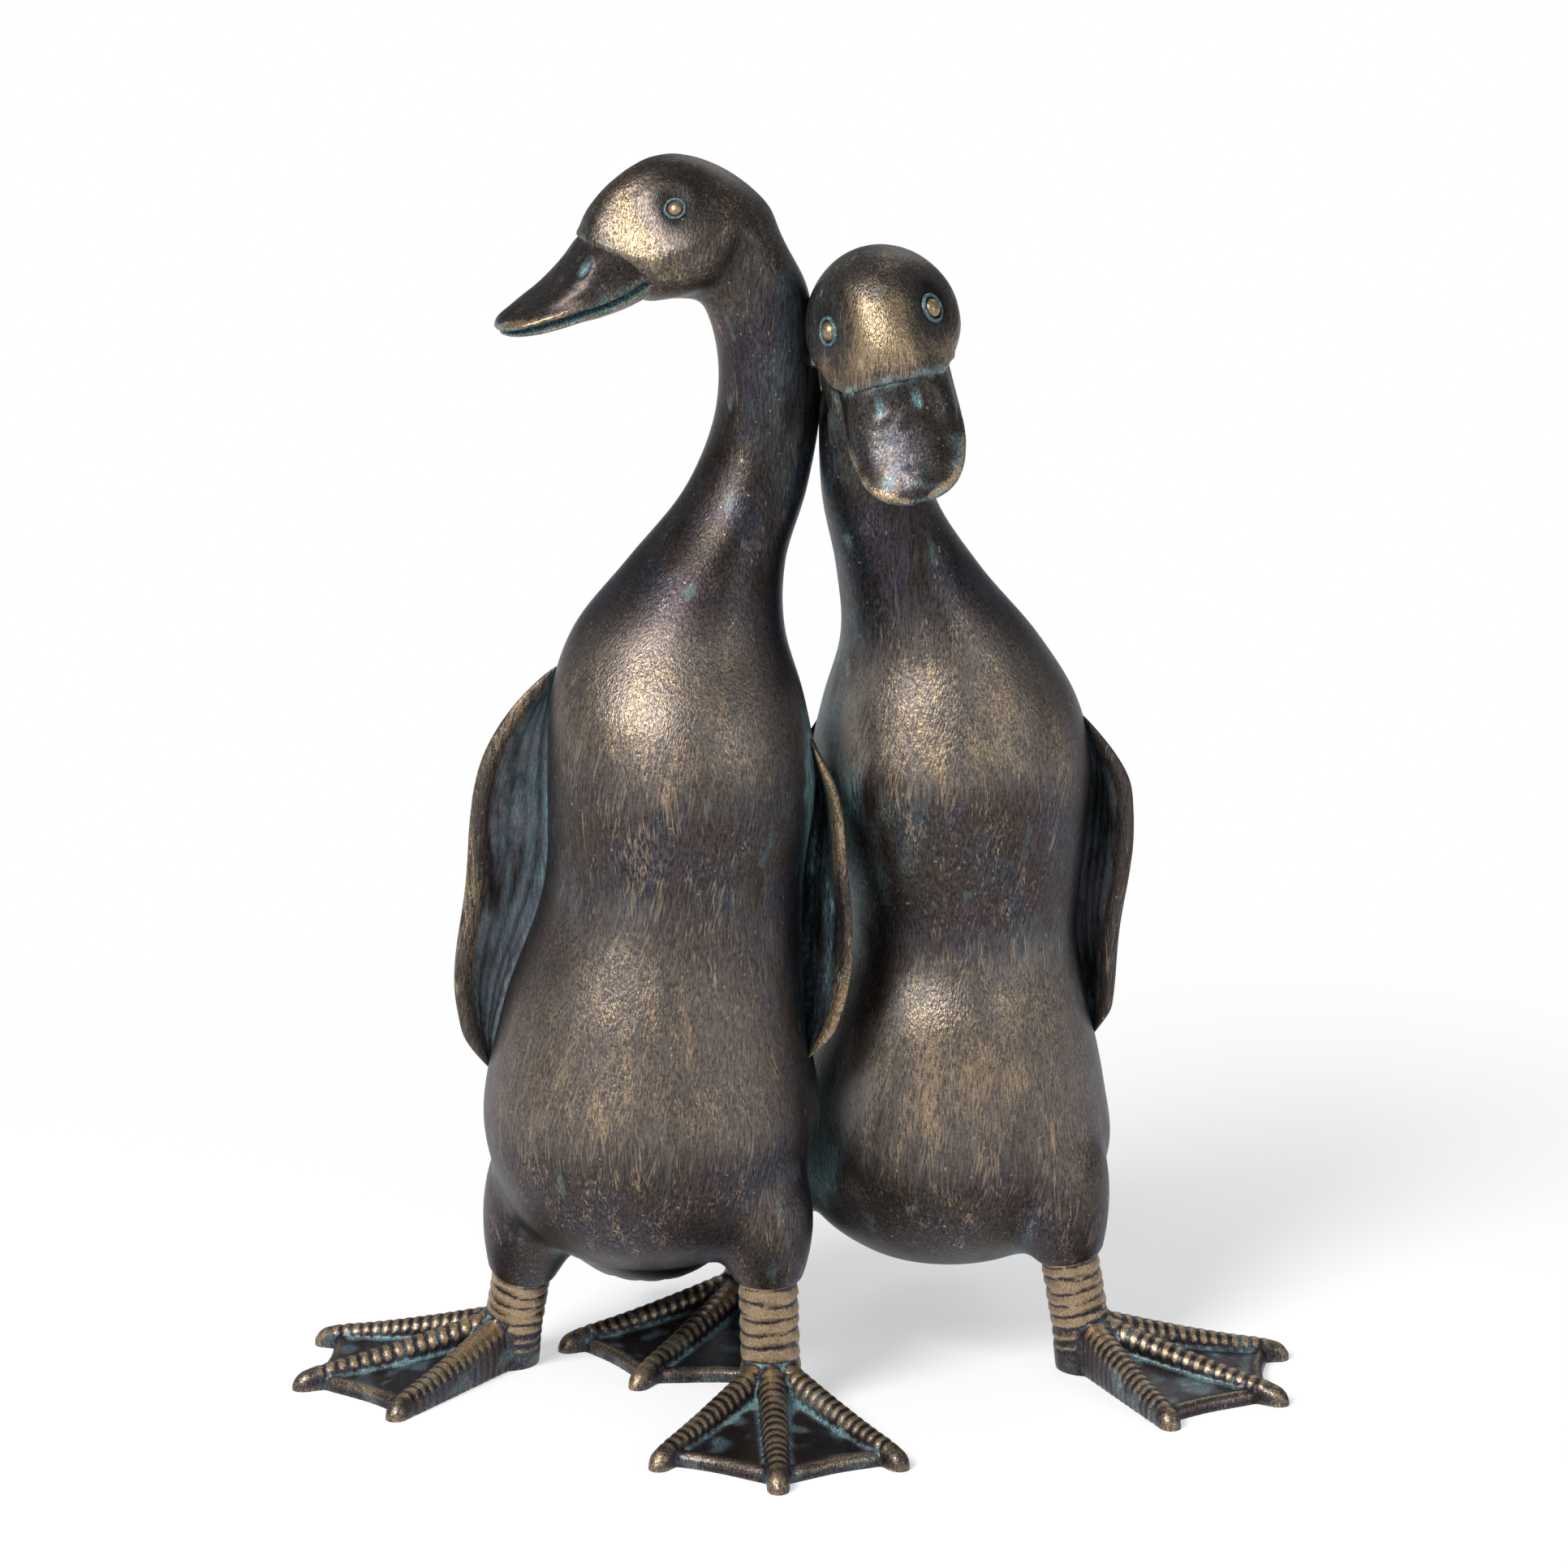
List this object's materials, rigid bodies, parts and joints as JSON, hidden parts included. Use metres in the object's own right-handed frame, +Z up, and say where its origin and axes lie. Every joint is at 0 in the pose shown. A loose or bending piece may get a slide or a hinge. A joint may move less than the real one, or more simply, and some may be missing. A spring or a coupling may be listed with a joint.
{
  "type": "duck garden statue",
  "caption": "Free-standing garden statue of upright ducks leaning together on webbed feet, cast in pinned pieces with a bronze-look finish.",
  "frame": {"origin": "on the ground under the middle of the statue's box", "axes": "+Z up, -Y the side that the ducks face, +X towards the short duck"},
  "size_m": [0.3416, 0.2266, 0.4276],
  "materials": {
    "bronze_finish_resin": "satin",
    "eye_black": "gloss",
    "dowel_wood": "matte",
    "pin_steel": "satin"
  },
  "bodies": {
    "root": {"tall_duck_body": "bronze_finish_resin", "tall_duck_head": "bronze_finish_resin", "tall_duck_neck_dowel": "dowel_wood", "tall_duck_left_eye": "eye_black", "tall_duck_left_wing": "bronze_finish_resin", "tall_duck_left_wing_pin_1": "pin_steel", "tall_duck_left_wing_pin_2": "pin_steel", "tall_duck_left_leg": "bronze_finish_resin", "tall_duck_left_leg_rod": "pin_steel", "tall_duck_right_eye": "eye_black", "tall_duck_right_wing": "bronze_finish_resin", "tall_duck_right_wing_pin_1": "pin_steel", "tall_duck_right_wing_pin_2": "pin_steel", "tall_duck_right_leg": "bronze_finish_resin", "tall_duck_right_leg_rod": "pin_steel", "short_duck_body": "bronze_finish_resin", "short_duck_head": "bronze_finish_resin", "short_duck_neck_dowel": "dowel_wood", "short_duck_left_eye": "eye_black", "short_duck_left_wing": "bronze_finish_resin", "short_duck_left_wing_pin_1": "pin_steel", "short_duck_left_wing_pin_2": "pin_steel", "short_duck_left_leg": "bronze_finish_resin", "short_duck_left_leg_rod": "pin_steel", "short_duck_right_eye": "eye_black", "short_duck_right_wing": "bronze_finish_resin", "short_duck_right_wing_pin_1": "pin_steel", "short_duck_right_wing_pin_2": "pin_steel", "short_duck_right_leg": "bronze_finish_resin", "short_duck_right_leg_rod": "pin_steel", "belly_tie": "pin_steel", "head_tie": "pin_steel"}
  },
  "joints": []
}
